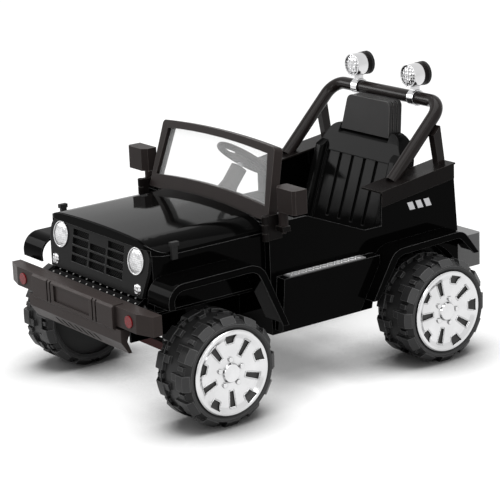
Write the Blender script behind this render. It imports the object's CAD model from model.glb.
"""Looks of the electric ride-on car: materials, small moulded details, studio and camera."""

import math

import bmesh
import bpy
from mathutils import Matrix, Vector


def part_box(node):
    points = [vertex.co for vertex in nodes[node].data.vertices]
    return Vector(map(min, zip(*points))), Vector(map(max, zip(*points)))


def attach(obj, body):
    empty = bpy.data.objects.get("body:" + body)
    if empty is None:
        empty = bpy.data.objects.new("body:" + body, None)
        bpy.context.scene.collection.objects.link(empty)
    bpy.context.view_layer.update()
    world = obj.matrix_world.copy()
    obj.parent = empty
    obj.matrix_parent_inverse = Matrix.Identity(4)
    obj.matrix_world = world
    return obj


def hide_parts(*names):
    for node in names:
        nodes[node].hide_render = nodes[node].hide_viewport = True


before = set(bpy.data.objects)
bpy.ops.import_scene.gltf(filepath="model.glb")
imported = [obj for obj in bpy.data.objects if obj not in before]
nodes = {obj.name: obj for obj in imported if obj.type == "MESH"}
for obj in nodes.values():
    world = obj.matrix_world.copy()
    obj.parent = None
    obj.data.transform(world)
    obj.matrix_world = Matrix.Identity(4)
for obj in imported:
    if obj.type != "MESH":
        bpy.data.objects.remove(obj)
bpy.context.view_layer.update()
scene = bpy.context.scene


# Small helpers for node graphs
def new_material(name):
    """A new material with a Principled shader, as (material, nodes, links, shader)."""
    material = bpy.data.materials.new(name)
    material.use_nodes = True
    tree = material.node_tree
    shader = tree.nodes["Principled BSDF"]
    return material, tree.nodes, tree.links, shader


def ramp(tree_nodes, links, source, low, high, first, last):
    """A value between first and last as source goes from low to high."""
    node = tree_nodes.new("ShaderNodeMapRange")
    node.inputs["From Min"].default_value = low
    node.inputs["From Max"].default_value = high
    node.inputs["To Min"].default_value = first
    node.inputs["To Max"].default_value = last
    links.new(source, node.inputs["Value"])
    return node.outputs["Result"]


def noise(tree_nodes, links, place, scale, detail=3.0, roughness=0.5):
    """Noise in the piece's own frame, scale in cells per metre."""
    node = tree_nodes.new("ShaderNodeTexNoise")
    node.inputs["Scale"].default_value = scale
    node.inputs["Detail"].default_value = detail
    node.inputs["Roughness"].default_value = roughness
    links.new(place, node.inputs["Vector"])
    return node.outputs["Fac"]


def mix_colour(tree_nodes, links, factor, first, second):
    """The first colour where factor is 0 and the second where it is 1."""
    node = tree_nodes.new("ShaderNodeMix")
    node.data_type = "RGBA"
    links.new(factor, node.inputs["Factor"])
    for socket, value in ((node.inputs[6], first), (node.inputs[7], second)):
        if hasattr(value, "links"):
            links.new(value, socket)
        else:
            socket.default_value = (*value, 1.0)
    return node.outputs[2]


def bump(tree_nodes, links, height, distance, strength=1.0, below=None):
    """A bump of that distance in metres, over the normal below it."""
    node = tree_nodes.new("ShaderNodeBump")
    node.inputs["Distance"].default_value = distance
    node.inputs["Strength"].default_value = strength
    links.new(height, node.inputs["Height"])
    if below is not None:
        links.new(below, node.inputs["Normal"])
    return node.outputs["Normal"]


NEAR_SAMPLES = 6


def soft_edges(tree_nodes, radius):
    """The normal of the surface with its sharp edges rounded over."""
    node = tree_nodes.new("ShaderNodeBevel")
    node.samples = NEAR_SAMPLES
    node.inputs["Radius"].default_value = radius
    return node.outputs["Normal"]


def scaled(colour, share):
    """The colour, brighter or darker by that share."""
    return tuple(share * level for level in colour)


def grey(level):
    """A neutral colour of that level."""
    return (level, level, level)


NOISE_RANGE = (0.3, 0.7)
PATCH_CELLS = 14.0
PATCH_TINT = 1.5
PATCH_MOST = 0.35
SCUFF_CELLS = 160.0
SCUFF_SHARE = 0.35
GLOSS_RANGE = (0.4, 0.95)
EDGE_RANGE = (0.995, 0.9)
GROOVE_RANGE = (0.35, 0.85)
GROOVE_SHADE = 0.8
GROOVE_TINT = 0.12


def moulded(name, colour, worn, rough, grain, specular=0.5, edge=0.0012, wear=0.5, metal=0.0, dirt=0.0):
    """A moulded plastic or a metal: rounded edges, surface grain, uneven gloss, worn edges.

    rough is (least, most) roughness, and grain is (cells per metre, depth in metres). Corners and grooves
    within dirt metres of a facing surface get darker.
    """
    material, tree_nodes, links, shader = new_material(name)
    place = tree_nodes.new("ShaderNodeTexCoord").outputs["Object"]
    patches = noise(tree_nodes, links, place, PATCH_CELLS, 4.0, 0.6)
    scuffs = noise(tree_nodes, links, place, SCUFF_CELLS, 5.0, 0.7)
    blend = tree_nodes.new("ShaderNodeMath")
    blend.operation = "MULTIPLY_ADD"
    blend.inputs[1].default_value = SCUFF_SHARE
    links.new(scuffs, blend.inputs[0])
    links.new(patches, blend.inputs[2])
    links.new(ramp(tree_nodes, links, blend.outputs[0], *GLOSS_RANGE, *rough), shader.inputs["Roughness"])
    rounded = soft_edges(tree_nodes, edge)
    turned = tree_nodes.new("ShaderNodeVectorMath")
    turned.operation = "DOT_PRODUCT"
    links.new(rounded, turned.inputs[0])
    links.new(tree_nodes.new("ShaderNodeNewGeometry").outputs["Normal"], turned.inputs[1])
    edge_wear = ramp(tree_nodes, links, turned.outputs["Value"], *EDGE_RANGE, 0.0, wear)
    patch_share = ramp(tree_nodes, links, patches, *NOISE_RANGE, 0.0, PATCH_MOST)
    tint = mix_colour(tree_nodes, links, patch_share, colour, scaled(colour, PATCH_TINT))
    shown = mix_colour(tree_nodes, links, edge_wear, tint, worn)
    if dirt:
        groove = tree_nodes.new("ShaderNodeAmbientOcclusion")
        groove.inputs["Distance"].default_value = dirt
        groove.samples = NEAR_SAMPLES
        shade = ramp(tree_nodes, links, groove.outputs["AO"], *GROOVE_RANGE, GROOVE_SHADE, 0.0)
        shown = mix_colour(tree_nodes, links, shade, shown, scaled(colour, GROOVE_TINT))
    links.new(shown, shader.inputs["Base Color"])
    texture = noise(tree_nodes, links, place, grain[0], 2.0, 0.5)
    links.new(bump(tree_nodes, links, texture, grain[1], 1.0, rounded), shader.inputs["Normal"])
    shader.inputs["Specular IOR Level"].default_value = specular
    shader.inputs["Metallic"].default_value = metal
    return material


DOME_UNEVEN = 0.35
DOME_RANGE = (0.2, 0.75)
DOME_EDGE_TINT = 0.45
DOME_STRENGTH = 0.8
SMEAR_CELLS = 90.0


def pebbled(name, colour, rough, cell, depth, metal, specular=0.5):
    """A lens or reflector face whose surface is an array of small domes, cell metres across."""
    material, tree_nodes, links, shader = new_material(name)
    place = tree_nodes.new("ShaderNodeTexCoord").outputs["Object"]
    domes = tree_nodes.new("ShaderNodeTexVoronoi")
    domes.inputs["Scale"].default_value = 1.0 / cell
    domes.inputs["Randomness"].default_value = DOME_UNEVEN
    links.new(place, domes.inputs["Vector"])
    dome_edge = ramp(tree_nodes, links, domes.outputs["Distance"], *DOME_RANGE, 0.0, 1.0)
    shade = mix_colour(tree_nodes, links, dome_edge, colour, scaled(colour, DOME_EDGE_TINT))
    links.new(shade, shader.inputs["Base Color"])
    smears = noise(tree_nodes, links, place, SMEAR_CELLS)
    links.new(ramp(tree_nodes, links, smears, *NOISE_RANGE, *rough), shader.inputs["Roughness"])
    relief = bump(tree_nodes, links, domes.outputs["Distance"], depth, DOME_STRENGTH)
    links.new(relief, shader.inputs["Normal"])
    shader.inputs["Metallic"].default_value = metal
    shader.inputs["Specular IOR Level"].default_value = specular
    return material


PANE_TINT = (0.97, 0.98, 0.98, 1.0)
PANE_SCUFF_RANGE = (0.3, 0.8)
PANE_ROUGH = (0.03, 0.1)
PANE_ALPHA = (0.15, 0.19)


def clear_pane(name):
    """Thin clear plastic sheet with a faint haze and fine scuffs."""
    material, tree_nodes, links, shader = new_material(name)
    place = tree_nodes.new("ShaderNodeTexCoord").outputs["Object"]
    scuffs = noise(tree_nodes, links, place, 240.0, 6.0, 0.7)
    haze = noise(tree_nodes, links, place, 7.0, 2.0, 0.4)
    links.new(ramp(tree_nodes, links, scuffs, *PANE_SCUFF_RANGE, *PANE_ROUGH), shader.inputs["Roughness"])
    links.new(ramp(tree_nodes, links, haze, *NOISE_RANGE, *PANE_ALPHA), shader.inputs["Alpha"])
    shader.inputs["Base Color"].default_value = PANE_TINT
    shader.inputs["Specular IOR Level"].default_value = 0.5
    return material


# The finishes
GLOSSY = (0.03, 0.085)
GLOSSY_GRAIN = (700.0, 0.00001)
TYRE_ROUGH = (0.26, 0.42)
TYRE_GRAIN = (1800.0, 0.00008)
SATIN_GRAIN = (2600.0, 0.00006)
MATTE_GRAIN = (2200.0, 0.00006)
SMALL_ROUGH = (0.25, 0.4)
SMALL_GRAIN = (1800.0, 0.00004)
STRIP_GRAIN = (1600.0, 0.00003)

black_gloss = moulded("body_black_gloss", grey(0.0012), grey(0.2), GLOSSY, GLOSSY_GRAIN,
                      specular=0.022, wear=0.6)
flare_gloss = moulded("flare_black_gloss", grey(0.0012), grey(0.2), GLOSSY, GLOSSY_GRAIN,
                      specular=0.014, wear=0.6)
hood_gloss = moulded("hood_black_gloss", grey(0.0016), grey(0.4), GLOSSY, GLOSSY_GRAIN,
                     specular=0.052, wear=0.6)
shoulder_gloss = moulded("shoulder_black_gloss", grey(0.0012), grey(0.4), GLOSSY, GLOSSY_GRAIN,
                         specular=0.014, wear=0.6)
panel_gloss = moulded("panel_black_gloss", grey(0.01), grey(0.14), (0.12, 0.22), (1400.0, 0.00002),
                      specular=0.06, wear=0.6)
seat_black = moulded("seat_black", grey(0.003), grey(0.06), (0.06, 0.13), (1400.0, 0.00003),
                     specular=0.032, edge=0.003, wear=0.4, dirt=0.02)
trim_grey = moulded("trim_grey_satin", (0.034, 0.0275, 0.026), (0.08, 0.07, 0.067), (0.3, 0.46),
                    SATIN_GRAIN, specular=0.07, wear=0.6, dirt=0.016)
trim_shader = trim_grey.node_tree.nodes["Principled BSDF"]
trim_shader.inputs["Specular Tint"].default_value = (1.0, 0.87, 0.84, 1.0)
rest_grey = moulded("headrest_satin", (0.024, 0.0235, 0.0235), (0.22, 0.215, 0.21), (0.26, 0.4),
                    SATIN_GRAIN, specular=0.09, edge=0.002, wear=0.6, dirt=0.016)
frame_grey = moulded("frame_grey_satin", (0.021, 0.0168, 0.016), (0.25, 0.23, 0.22), (0.3, 0.44),
                     SATIN_GRAIN, specular=0.06, wear=0.6, dirt=0.012)
bar_grey = moulded("bar_grey_gloss", (0.0115, 0.0092, 0.0087), (0.15, 0.14, 0.135), (0.1, 0.18),
                   (2200.0, 0.00003), specular=0.13)
dark_trim = moulded("trim_black_satin", (0.0055, 0.0046, 0.0044), (0.12, 0.11, 0.105), (0.22, 0.36),
                    (2600.0, 0.00005), specular=0.05, wear=0.6)
box_grey = moulded("box_grey", grey(0.03), grey(0.12), (0.08, 0.16), (2000.0, 0.00003), specular=0.75)
tyre_grey = moulded("tyre_satin", (0.05, 0.05, 0.0505), (0.26, 0.26, 0.261), TYRE_ROUGH, TYRE_GRAIN,
                    specular=0.12, edge=0.0022, wear=0.6, dirt=0.034)
tread_black = moulded("tread_satin", (0.021, 0.021, 0.0213), (0.2, 0.2, 0.201), TYRE_ROUGH, TYRE_GRAIN,
                      specular=0.12, edge=0.0022, wear=0.6, dirt=0.034)
chrome = moulded("chrome_plate", (0.6, 0.6, 0.605), grey(0.75), (0.05, 0.13), (500.0, 0.00002),
                 metal=1.0, edge=0.0015, dirt=0.012)
matte_black = moulded("matte_black", grey(0.005), grey(0.022), (0.45, 0.62), MATTE_GRAIN, specular=0.2)
mesh_black = moulded("mesh_black", grey(0.0006), grey(0.004), (0.4, 0.6), MATTE_GRAIN, specular=0.02)
rubber = moulded("latch_rubber", grey(0.008), grey(0.03), (0.5, 0.7), (2400.0, 0.00006), specular=0.25)
steel = moulded("bare_steel", (0.42, 0.42, 0.43), grey(0.6), (0.25, 0.42), (1500.0, 0.00003), metal=1.0)
axle_paint = moulded("axle_paint", (0.045, 0.003, 0.003), (0.1, 0.03, 0.026), (0.3, 0.5),
                     (700.0, 0.00004), specular=0.08)
button_red = moulded("button_red", (0.5, 0.015, 0.012), (0.62, 0.2, 0.18), SMALL_ROUGH,
                     (1200.0, 0.00003))
mirror_face = moulded("mirror_foil", (0.8, 0.81, 0.82), grey(0.85), (0.03, 0.08), (300.0, 0.00001),
                      metal=1.0)
lamp_facets = pebbled("lamp_facets", (0.9, 0.9, 0.91), (0.05, 0.12), cell=0.0075, depth=0.003, metal=0.95)
lamp_silver = pebbled("lamp_silver", (0.95, 0.95, 0.96), (0.1, 0.2), cell=0.0046, depth=0.0012, metal=0.6)
reflector_red = pebbled("reflector_red", (0.3, 0.003, 0.008), (0.12, 0.2), cell=0.003, depth=0.0006,
                        metal=0.0, specular=0.22)
tread_plate = moulded("tread_plate", (0.2, 0.2, 0.202), grey(0.3), (0.28, 0.4), STRIP_GRAIN,
                      metal=0.2, edge=0.0008)
tread_raised = moulded("tread_raised", (0.7, 0.7, 0.705), grey(0.7), (0.25, 0.38), STRIP_GRAIN,
                       metal=0.3, edge=0.0006)
strand_grey = moulded("strand_grey", grey(0.011), grey(0.03), SMALL_ROUGH, SMALL_GRAIN, specular=0.1)
stud_pale = moulded("stud_pale", (0.3, 0.295, 0.29), grey(0.5), SMALL_ROUGH, SMALL_GRAIN, specular=0.4)
slot_grey = moulded("slot_grey", (0.02, 0.0195, 0.019), grey(0.1), (0.3, 0.5), (900.0, 0.0002),
                    specular=0.4)
pane = clear_pane("clear_pane")

FINISHES = {
    black_gloss: ["body_shell", "front_body", "front_frame"],
    flare_gloss: ["front_flares", "rear_flares"],
    panel_gloss: ["grille_panel"],
    hood_gloss: ["hood"],
    seat_black: ["seat"],
    trim_grey: ["front_bumper", "steering_column", "steering_wheel"],
    rest_grey: ["headrest"],
    frame_grey: ["windshield_frame", "mirror_housing_left", "mirror_housing_right"],
    bar_grey: ["roll_bar", "roll_bar_struts"],
    dark_trim: ["quarter_rails", "windshield_brackets"],
    box_grey: ["rear_bumper"],
    tyre_grey: ["tyre_front_left", "tyre_front_right", "tyre_rear_left", "tyre_rear_right"],
    chrome: ["hubcap_front_left", "hubcap_front_right", "hubcap_rear_left", "hubcap_rear_right",
             "bar_lamp_housings", "bar_lamp_clamps", "headlamp_bowls"],
    mesh_black: ["grille_mesh"],
    matte_black: ["dashboard", "bar_lamp_caps", "gearboxes", "motors", "battery", "pedal_bracket",
                  "accelerator_pedal", "drive_hub_left", "drive_hub_right", "knuckle_left", "knuckle_right",
                  "direction_rocker", "charge_socket", "sound_button"],
    rubber: ["hood_latches"],
    steel: ["steering_shaft", "tie_rod", "rear_axle"],
    axle_paint: ["front_axle_beam"],
    button_red: ["horn_button"],
    mirror_face: ["mirror_glass_left", "mirror_glass_right"],
    lamp_silver: ["headlamp_lenses"],
    lamp_facets: ["bar_lamp_lenses", "turn_lamps"],
    reflector_red: ["bumper_reflectors"],
    tread_plate: ["sill_strips"],
    pane: ["windshield_pane"],
}
for finish, names in FINISHES.items():
    for name in names:
        mesh = nodes[name].data
        mesh.materials.clear()
        mesh.materials.append(finish)
        mesh.polygons.foreach_set("material_index", [0] * len(mesh.polygons))


def second_finish(name, finish, chosen):
    """Gives a node's chosen faces another finish."""
    mesh = nodes[name].data
    mesh.materials.append(finish)
    mesh.polygons.foreach_set("material_index", [int(chosen(face.normal)) for face in mesh.polygons])


# The hood's rolled shoulders and sides are darker than its top, and the treads than the sidewalls
SIDES = {"left": 1, "right": -1}
HOOD_TOP_NORMAL_Z = 0.985
SIDEWALL_NORMAL_X = 0.7

second_finish("hood", shoulder_gloss, lambda normal: normal.z < HOOD_TOP_NORMAL_Z)
for end in ("front", "rear"):
    for side_name in SIDES:
        tyre = f"tyre_{end}_{side_name}"
        second_finish(tyre, tread_black, lambda normal: abs(normal.x) < SIDEWALL_NORMAL_X)


# Helpers for detail pieces, in metres, in the part's own frame
def piece(name, mesh, finish, body):
    """Adds a detail mesh that moves with a body."""
    mesh.materials.append(finish)
    thing = bpy.data.objects.new(name, mesh)
    scene.collection.objects.link(thing)
    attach(thing, body)
    return thing


def finished(name, shape):
    """The mesh of a bmesh, which is then let go."""
    mesh = bpy.data.meshes.new(name)
    shape.to_mesh(mesh)
    shape.free()
    return mesh


BOX_FACES = ((3, 2, 1, 0), (4, 5, 6, 7), (0, 1, 5, 4), (1, 2, 6, 5), (2, 3, 7, 6), (3, 0, 4, 7))


def box_faces(shape, corners):
    """The six faces of a box on four lower and four upper corners."""
    for face in BOX_FACES:
        shape.faces.new([corners[corner] for corner in face])


def block(shape, centre, size, turn=None, taper=1.0):
    """A small raised block in a bmesh, its top drawn in by taper."""
    corners = []
    for up in (-0.5, 0.5):
        share = taper if up > 0 else 1.0
        for across, along in ((-0.5, -0.5), (0.5, -0.5), (0.5, 0.5), (-0.5, 0.5)):
            corner = Vector((across * size[0] * share, along * size[1] * share, up * size[2]))
            corners.append(shape.verts.new(Vector(centre) + (turn @ corner if turn else corner)))
    box_faces(shape, corners)


def skin(shape, rings, joins):
    """Faces between each row of points and the next, with that many faces along a row."""
    count = len(rings[0])
    for low, high in zip(rings, rings[1:]):
        for step in range(joins):
            after = (step + 1) % count
            shape.faces.new((low[step], low[after], high[after], high[step]))


def lathe(shape, profile, centre, side, steps=64):
    """A ring about an axis along X in a bmesh, from a closed profile of (radius, offset along X) pairs."""
    rings = []
    for radius, offset in profile:
        ring = []
        for step in range(steps):
            angle = math.tau * step / steps
            around = (radius * math.cos(angle), radius * math.sin(angle))
            ring.append(shape.verts.new(
                (centre[0] + side * offset, centre[1] + around[0], centre[2] + around[1])))
        rings.append(ring)
    skin(shape, rings + rings[:1], steps)
    bmesh.ops.recalc_face_normals(shape, faces=shape.faces)


# Lozenges of the tread plate, alternately leaning left and right
LOZENGE_SIZE = (0.0105, 0.0036, 0.0012)
LOZENGE_TAPER = 0.6
LOZENGE_LEAN = 42
LOZENGE_ROWS = 2
LOZENGE_PITCH = 0.0105
LOZENGE_RISE = 0.0004
STRIP_WIDTH = 0.023
STRIP_MARGIN = 0.01

strip_low, strip_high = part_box("sill_strips")
count = int((strip_high.y - strip_low.y - STRIP_MARGIN) / LOZENGE_PITCH)
lozenges = bmesh.new()
for side in SIDES.values():
    for row in range(LOZENGE_ROWS):
        across = side * (strip_high.x - STRIP_WIDTH * (row + 0.5) / LOZENGE_ROWS)
        for index in range(count):
            degrees = LOZENGE_LEAN if (row + index) % 2 else -LOZENGE_LEAN
            lean = Matrix.Rotation(math.radians(degrees), 3, "Z")
            along = strip_low.y + STRIP_MARGIN + LOZENGE_PITCH * index
            place = (across, along, strip_high.z + LOZENGE_RISE)
            block(lozenges, place, LOZENGE_SIZE, lean, LOZENGE_TAPER)
piece("tread_lozenges", finished("tread_lozenges", lozenges), tread_raised, "chassis")

# Diamond lattice inside each open grille slot, on the tilted plane of the grille
GRILLE_TILT = -9.0
GRILLE_FOOT = Vector((0.0, -0.458, 0.289))
SLOT_HALF = 0.108
SLOT_BAR = 0.006
SLOT_ROW = 0.016
SLOT_ROW_BAR = 0.0045
SLOT_LOW = 0.025
SLOT_ROWS, SLOT_COLUMNS = 4, 3
CLOSED_SLOT = (3, 1)
SLOT_WIDTH = (SLOT_HALF * 2 - SLOT_BAR * 2) / SLOT_COLUMNS
STRAND_PITCH = 0.0076
STRAND_WIDTH = 0.0009
STRAND_DEPTH = 0.0074
LEAST_STRAND = 0.002
LEAST_RISE = 0.001
MOST_RUN = SLOT_ROW * 1.01


def strand(left, start, slope):
    """The ends of a strand as (across, up) points, cut off at the sides of the slot that begins at left."""
    right_edge = left + SLOT_WIDTH
    ends = [[start, 0.0], [start + slope * SLOT_ROW, SLOT_ROW]]
    for one, two in ((0, 1), (1, 0)):
        (across, rise), (far_across, far_rise) = ends[one], ends[two]
        for edge, outside in ((left, across < left), (right_edge, across > right_edge)):
            if outside:
                ends[one] = [edge, rise + (edge - across) * (far_rise - rise) / (far_across - across)]
    return ends


grille_turn = Matrix.Rotation(math.radians(GRILLE_TILT), 3, "X")
lattice = bmesh.new()
for row in range(SLOT_ROWS):
    for column in range(SLOT_COLUMNS):
        if (row, column) == CLOSED_SLOT:
            continue
        left = column * (SLOT_WIDTH + SLOT_BAR) - SLOT_HALF
        low = SLOT_LOW + row * (SLOT_ROW + SLOT_ROW_BAR)
        steps = int((SLOT_WIDTH + SLOT_ROW) / STRAND_PITCH) + 1
        for slope in (1, -1):
            first_start = left - SLOT_ROW if slope > 0 else left
            for step in range(steps):
                first, last = strand(left, first_start + step * STRAND_PITCH, slope)
                run = Vector((last[0] - first[0], 0.0, last[1] - first[1]))
                if run.length < LEAST_STRAND or abs(run.x) > MOST_RUN or abs(run.z) < LEAST_RISE:
                    continue
                middle = Vector(((first[0] + last[0]) / 2, STRAND_DEPTH, low + (first[1] + last[1]) / 2))
                lean = Matrix.Rotation(-math.atan2(run.z, run.x), 3, "Y")
                size = (run.length, STRAND_WIDTH, STRAND_WIDTH)
                block(lattice, GRILLE_FOOT + grille_turn @ middle, size, grille_turn @ lean)
piece("grille_lattice", finished("grille_lattice", lattice), strand_grey, "chassis")

# Two rows of low studs on the sloping apron behind the bumper
STUD_ROWS = (-0.4645, -0.4535)
STUD_PITCH = 0.029
STUDS_IN_FIRST_ROW = 13
STUD_RINGS = ((0.0027, -0.0004), (0.0022, 0.0007), (0.0011, 0.0012))
STUD_STEPS = 10
APRON_TOP_Y, APRON_TOP_Z = -0.448, 0.287
APRON_SLOPE = 0.645
APRON_TILT = math.atan2(0.020, 0.031)

studs = bmesh.new()
apron_turn = Matrix.Rotation(APRON_TILT, 3, "X")
for row, row_y in enumerate(STUD_ROWS):
    count = STUDS_IN_FIRST_ROW - row
    for index in range(count):
        across = (index - (count - 1) / 2) * STUD_PITCH
        foot = Vector((across, row_y, APRON_TOP_Z + (row_y - APRON_TOP_Y) * APRON_SLOPE))
        rings = []
        for width, height in STUD_RINGS:
            ring = []
            for step in range(STUD_STEPS):
                angle = math.tau * step / STUD_STEPS
                point = Vector((width * math.cos(angle), width * math.sin(angle), height))
                ring.append(studs.verts.new(foot + apron_turn @ point))
            rings.append(ring)
        skin(studs, rings, STUD_STEPS)
        studs.faces.new(rings[-1])
        studs.faces.new(list(reversed(rings[0])))
piece("apron_studs", finished("apron_studs", studs), stud_pale, "chassis")

# Plain slanted bars where the photograph has a mark on each rear quarter
STRIPES = 3
STRIPE_SIZE = (0.0006, 0.017, 0.02)
STRIPE_PITCH = 0.026
STRIPE_START = (0.2433, 0.287, 0.372)
STRIPE_SLANT = Matrix(((1, 0, 0), (0, 1, -0.45), (0, 0, 1)))

stripes = bmesh.new()
for side in SIDES.values():
    for index in range(STRIPES):
        place = (side * STRIPE_START[0], STRIPE_START[1] + index * STRIPE_PITCH, STRIPE_START[2])
        block(stripes, place, STRIPE_SIZE, STRIPE_SLANT)
piece("quarter_stripes", finished("quarter_stripes", stripes), steel, "chassis")

# Dark floors just inside the slanted louvres of the bumper's valance, which slopes back downwards
LOUVRES = 7
LOUVRE_PITCH = 0.027
LOUVRE_ENDS = ((0.1793, 0.0063), (0.1947, -0.0063))
LOUVRE_HALF = 0.0038
LOUVRE_FLOOR_SET = 0.0012
LOUVRE_FLOOR_DEPTH = 0.004
VALANCE_TOP_Y = -0.521
VALANCE_TOP_Z = 0.202
VALANCE_SLOPE = 19 / 28

inlays = bmesh.new()
for index in range(LOUVRES):
    middle = (index - (LOUVRES - 1) / 2) * LOUVRE_PITCH
    corners = []
    for height, lean in LOUVRE_ENDS:
        front = VALANCE_TOP_Y + (VALANCE_TOP_Z - height) * VALANCE_SLOPE + LOUVRE_FLOOR_SET
        for way, depth in ((-1, 0.0), (1, 0.0), (1, LOUVRE_FLOOR_DEPTH), (-1, LOUVRE_FLOOR_DEPTH)):
            across = middle + lean + way * LOUVRE_HALF
            corners.append(inlays.verts.new((across, front + depth, height)))
    box_faces(inlays, corners)
bmesh.ops.recalc_face_normals(inlays, faces=inlays.faces)
piece("louvre_floors", finished("louvre_floors", inlays), mesh_black, "chassis")

# Dark sleeves round the rear of the two lamps on the roll bar
SLEEVE_LENGTH = 0.0122
SLEEVE_SETBACK = 0.0124
SLEEVE_SUNK = 0.0002
SLEEVE_PROUD = 0.0009
SLEEVE_BEVEL = 0.0004
SLEEVE_STEPS = 48

lamp_low, lamp_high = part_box("bar_lamp_housings")
lamp_radius = (lamp_high.z - lamp_low.z) / 2
sleeve_profile = (
    (lamp_radius - SLEEVE_SUNK, 0.0),
    (lamp_radius + SLEEVE_PROUD, SLEEVE_BEVEL),
    (lamp_radius + SLEEVE_PROUD, SLEEVE_LENGTH - SLEEVE_BEVEL),
    (lamp_radius - SLEEVE_SUNK, SLEEVE_LENGTH),
)
sleeve_turn = Matrix.Rotation(math.radians(90.0), 4, "Z")
for side_name, side in SIDES.items():
    sleeve = bmesh.new()
    lathe(sleeve, sleeve_profile, (0.0, 0.0, 0.0), 1, SLEEVE_STEPS)
    across = side * (lamp_high.x - lamp_radius)
    place = Vector((across, lamp_high.y - SLEEVE_SETBACK, lamp_low.z + lamp_radius))
    sleeve.transform(Matrix.Translation(place) @ sleeve_turn)
    piece(f"bar_lamp_sleeve_{side_name}", finished("bar_lamp_sleeve", sleeve), dark_trim, "chassis")

# Face of a hub cap: radius and distance from the wheel's middle plane at its hub, bend and rim
HUB_RADIUS, HUB_FACE = 0.04, 0.058
BEND_RADIUS, BEND_FACE = 0.079, 0.06
RIM_RADIUS, RIM_FACE = 0.08985, 0.066


def cap_face(radius):
    """How far the cap's front face lies from the wheel's middle plane at that radius."""
    if radius < BEND_RADIUS:
        share = max(radius - HUB_RADIUS, 0.0) / (BEND_RADIUS - HUB_RADIUS)
        return HUB_FACE + share * (BEND_FACE - HUB_FACE)
    share = (radius - BEND_RADIUS) / (RIM_RADIUS - BEND_RADIUS)
    return BEND_FACE + share * (RIM_FACE - BEND_FACE)


BORDER_HEIGHT = 0.0011
BORDER_ROOT = -0.0006
BORDER_SECTION = ((0.0, BORDER_ROOT), (0.000756, BORDER_HEIGHT), (0.001764, BORDER_HEIGHT),
                  (0.00252, BORDER_ROOT))


def bead(shape, outline, centre, side, angle, closed):
    """A raised border on a cap's face along an outline of (radius, across) points, closed or open."""
    middle = sum((Vector(point) for point in outline), Vector((0.0, 0.0))) / len(outline)
    loops = []
    for spread, rise in BORDER_SECTION:
        loop = []
        for point in outline:
            away = (Vector(point) - middle).normalized()
            radius, across = Vector(point) + away * spread
            reach = math.hypot(radius, across)
            bearing = angle + math.atan2(across, radius)
            around = (reach * math.cos(bearing), reach * math.sin(bearing))
            loop.append(shape.verts.new(
                (centre[0] + side * (cap_face(reach) + rise), centre[1] + around[0], centre[2] + around[1])))
        loops.append(loop)
    count = len(outline)
    skin(shape, loops + loops[:1], count if closed else count - 1)
    if not closed:
        shape.faces.new([loop[0] for loop in loops])
        shape.faces.new([loop[-1] for loop in loops])


SIDE_POINTS = 6


def stretched(corners):
    """The corners of a closed outline with points added along its sides."""
    points = []
    for one, two in zip(corners, corners[1:] + corners[:1]):
        for step in range(SIDE_POINTS):
            points.append(tuple(
                start + (stop - start) * step / SIDE_POINTS for start, stop in zip(one, two)))
    return points


# Borders of a cap's windows and slots; a window's border is open at the rim
WINDOW = stretched([(0.0835, -0.0146), (0.0675, -0.0098), (0.0675, 0.0098), (0.0835, 0.0146)])
WINDOW = WINDOW[:3 * SIDE_POINTS + 1]
SLOT = stretched([(0.0415, -0.0062), (0.0803, -0.0088), (0.0803, 0.0088), (0.0415, 0.0062)])
CAP_PARTS = 5
FIRST_WINDOW = 54.0

# Wheels: caps turned as in the photograph, their borders and slot floors, and bars and a rib on the tread
WHEEL_ENDS = (("front", -0.335, 36.0), ("rear", 0.305, 18.0))
WHEEL_MIDDLE_X = 0.2865
WHEEL_MIDDLE_Z = 0.127
CAP_FLOOR = ((0.038, 0.0542), (0.079, 0.056), (0.089, 0.0613),
             (0.089, 0.0601), (0.079, 0.0548), (0.038, 0.053))
TREAD_RIB = ((0.1185, -0.0335), (0.1262, -0.0325), (0.1266, -0.0315),
             (0.1262, -0.0305), (0.1185, -0.0295))
RIB_STEPS = 128
TREAD_BARS = 24
BAR_SIZE = (0.023, 0.012, 0.0056)
BAR_TAPER = 0.78
BAR_ACROSS = 0.037
BAR_RADIUS = 0.1213

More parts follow.
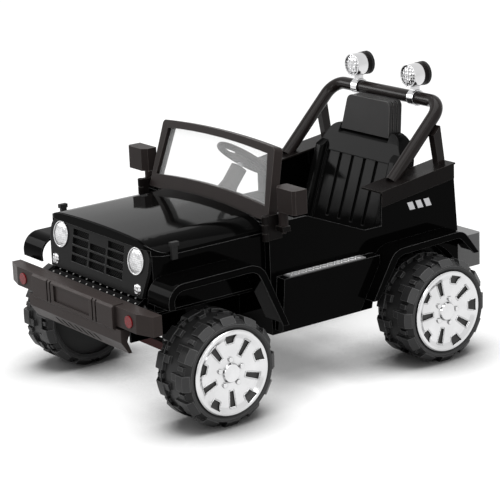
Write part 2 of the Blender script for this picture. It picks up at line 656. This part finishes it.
for end, axle_y, turn_degrees in WHEEL_ENDS:
    for side_name, side in SIDES.items():
        body = f"wheel_{end}_{side_name}"
        label = f"{end}_{side_name}"
        centre = (side * WHEEL_MIDDLE_X, axle_y, WHEEL_MIDDLE_Z)
        pivot = Matrix.Translation(centre)
        spin = Matrix.Rotation(math.radians(turn_degrees), 4, "X")
        turned_mesh = nodes[f"hubcap_{label}"].data.copy()
        turned_mesh.transform(pivot @ spin @ pivot.inverted())
        turned_mesh.materials.clear()
        cap = piece(f"{label}_cap", turned_mesh, chrome, body)
        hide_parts(f"hubcap_{end}_{side_name}")

        borders = bmesh.new()
        for index in range(CAP_PARTS):
            bearing = math.radians(FIRST_WINDOW + turn_degrees + 360.0 / CAP_PARTS * index)
            bead(borders, WINDOW, centre, side, bearing, False)
            bead(borders, SLOT, centre, side, bearing + math.pi / CAP_PARTS, True)
        bmesh.ops.recalc_face_normals(borders, faces=borders.faces)
        piece(f"{label}_cap_borders", finished("cap_borders", borders), chrome, body)

        slot_floor = bmesh.new()
        lathe(slot_floor, CAP_FLOOR, centre, side)
        piece(f"{label}_cap_floor", finished("cap_floor", slot_floor), slot_grey, body)

        bars = bmesh.new()
        for step in range(TREAD_BARS):
            angle = math.tau * step / TREAD_BARS
            across = side * (BAR_ACROSS if step % 2 else -BAR_ACROSS)
            radial = Vector((0.0, math.cos(angle), math.sin(angle)))
            along = Vector((0.0, math.sin(angle), -math.cos(angle)))
            axes = Matrix((Vector((1.0, 0.0, 0.0)), along, radial)).transposed()
            place = Vector(centre) + Vector((across, 0.0, 0.0)) + radial * BAR_RADIUS
            block(bars, place, BAR_SIZE, axes, BAR_TAPER)
        piece(f"{label}_tread_bars", finished("tread_bars", bars), tread_black, body)

        rib = bmesh.new()
        lathe(rib, TREAD_RIB, centre, side, RIB_STEPS)
        piece(f"{label}_tread_rib", finished("tread_rib", rib), tread_black, body)


# Studio: white world and floor, soft lamps and the camera of the photograph
def studio_white(tree, levels):
    """A strength: the second level for camera, glossy and transmission rays, and the first for others."""
    path = tree.nodes.new("ShaderNodeLightPath")
    first = tree.nodes.new("ShaderNodeMath")
    first.operation = "MAXIMUM"
    tree.links.new(path.outputs["Is Camera Ray"], first.inputs[0])
    tree.links.new(path.outputs["Is Glossy Ray"], first.inputs[1])
    second = tree.nodes.new("ShaderNodeMath")
    second.operation = "MAXIMUM"
    tree.links.new(first.outputs[0], second.inputs[0])
    tree.links.new(path.outputs["Is Transmission Ray"], second.inputs[1])
    level = tree.nodes.new("ShaderNodeMapRange")
    level.inputs["To Min"].default_value = levels[0]
    level.inputs["To Max"].default_value = levels[1]
    tree.links.new(second.outputs[0], level.inputs["Value"])
    return level.outputs["Result"]


WHITE = (1.0, 1.0, 1.0, 1.0)
WORLD_LEVELS = (0.6, 1.0)
FLOOR_LEVELS = (0.0, 0.93)
FLOOR_COLOUR = (0.22, 0.22, 0.22, 1.0)
FLOOR_REACH = 30.0
FLOOR_CORNERS = ((-1, -1), (1, -1), (1, 1), (-1, 1))
FLOOR_ROUGH = 0.9
SHADOW_REACH = 0.185
SHADOW_RANGE = (0.5, 0.94)
SHADOW_SAMPLES = 12

world = bpy.data.worlds.new("studio")
scene.world = world
world.use_nodes = True
background = world.node_tree.nodes["Background"]
background.inputs["Color"].default_value = WHITE
world.node_tree.links.new(studio_white(world.node_tree, WORLD_LEVELS), background.inputs["Strength"])

floor_mesh = bpy.data.meshes.new("floor")
floor_points = [(x * FLOOR_REACH, y * FLOOR_REACH, 0) for x, y in FLOOR_CORNERS]
floor_mesh.from_pydata(floor_points, [], [(0, 1, 2, 3)])
floor = bpy.data.objects.new("floor", floor_mesh)
scene.collection.objects.link(floor)
floor_material, floor_nodes, floor_links, floor_shader = new_material("floor_white")
floor_shader.inputs["Base Color"].default_value = FLOOR_COLOUR
floor_shader.inputs["Roughness"].default_value = FLOOR_ROUGH
floor_shader.inputs["Specular IOR Level"].default_value = 0.0
floor_shader.inputs["Emission Color"].default_value = WHITE
contact = floor_nodes.new("ShaderNodeAmbientOcclusion")
contact.inputs["Distance"].default_value = SHADOW_REACH
contact.samples = SHADOW_SAMPLES
glow = floor_nodes.new("ShaderNodeMath")
glow.operation = "MULTIPLY"
floor_links.new(studio_white(floor_material.node_tree, FLOOR_LEVELS), glow.inputs[0])
open_share = ramp(floor_nodes, floor_links, contact.outputs["AO"], *SHADOW_RANGE, 0.0, 1.0)
floor_links.new(open_share, glow.inputs[1])
floor_links.new(glow.outputs[0], floor_shader.inputs["Emission Strength"])
floor_mesh.materials.append(floor_material)


def softbox(name, place, aim, size, power):
    """A rectangular area lamp at place, turned towards aim."""
    lamp = bpy.data.lights.new(name, "AREA")
    lamp.shape = "RECTANGLE"
    lamp.size, lamp.size_y = size
    lamp.energy = power
    holder = bpy.data.objects.new(name, lamp)
    scene.collection.objects.link(holder)
    holder.location = place
    holder.rotation_euler = (Vector(aim) - Vector(place)).to_track_quat("-Z", "Y").to_euler()


CAR_MIDDLE = (0.0, 0.0, 0.3)
softbox("top_softbox", (0.3, 0.1, 2.6), CAR_MIDDLE, (2.4, 2.4), 46.0)
softbox("side_softbox", (2.6, -0.6, 1.5), CAR_MIDDLE, (1.2, 1.6), 16.0)
softbox("front_softbox", (0.9, -3.0, 1.4), CAR_MIDDLE, (1.6, 1.2), 14.0)
softbox("far_softbox", (-2.2, -1.5, 1.35), (0.2, 0.15, 0.25), (1.3, 1.0), 24.0)

# The camera's place and its axes to the right, up and back
CAMERA_PLACE = (3.63644, -2.67833, 1.5587)
CAMERA_RIGHT = Vector((0.59895555, 0.79984905, -0.03864909))
CAMERA_UP = Vector((-0.19742313, 0.19426753, 0.9608768))
CAMERA_BACK = Vector((0.77606466, -0.56789227, 0.27426632))

camera_data = bpy.data.cameras.new("photo_camera")
camera_data.sensor_width = 36.0
camera_data.lens = 139.80
camera = bpy.data.objects.new("photo_camera", camera_data)
scene.collection.objects.link(camera)
camera_turn = Matrix((CAMERA_RIGHT, CAMERA_UP, CAMERA_BACK)).transposed()
camera.matrix_world = Matrix.Translation(CAMERA_PLACE) @ camera_turn.to_4x4()
scene.camera = camera
scene.view_settings.view_transform = "Standard"
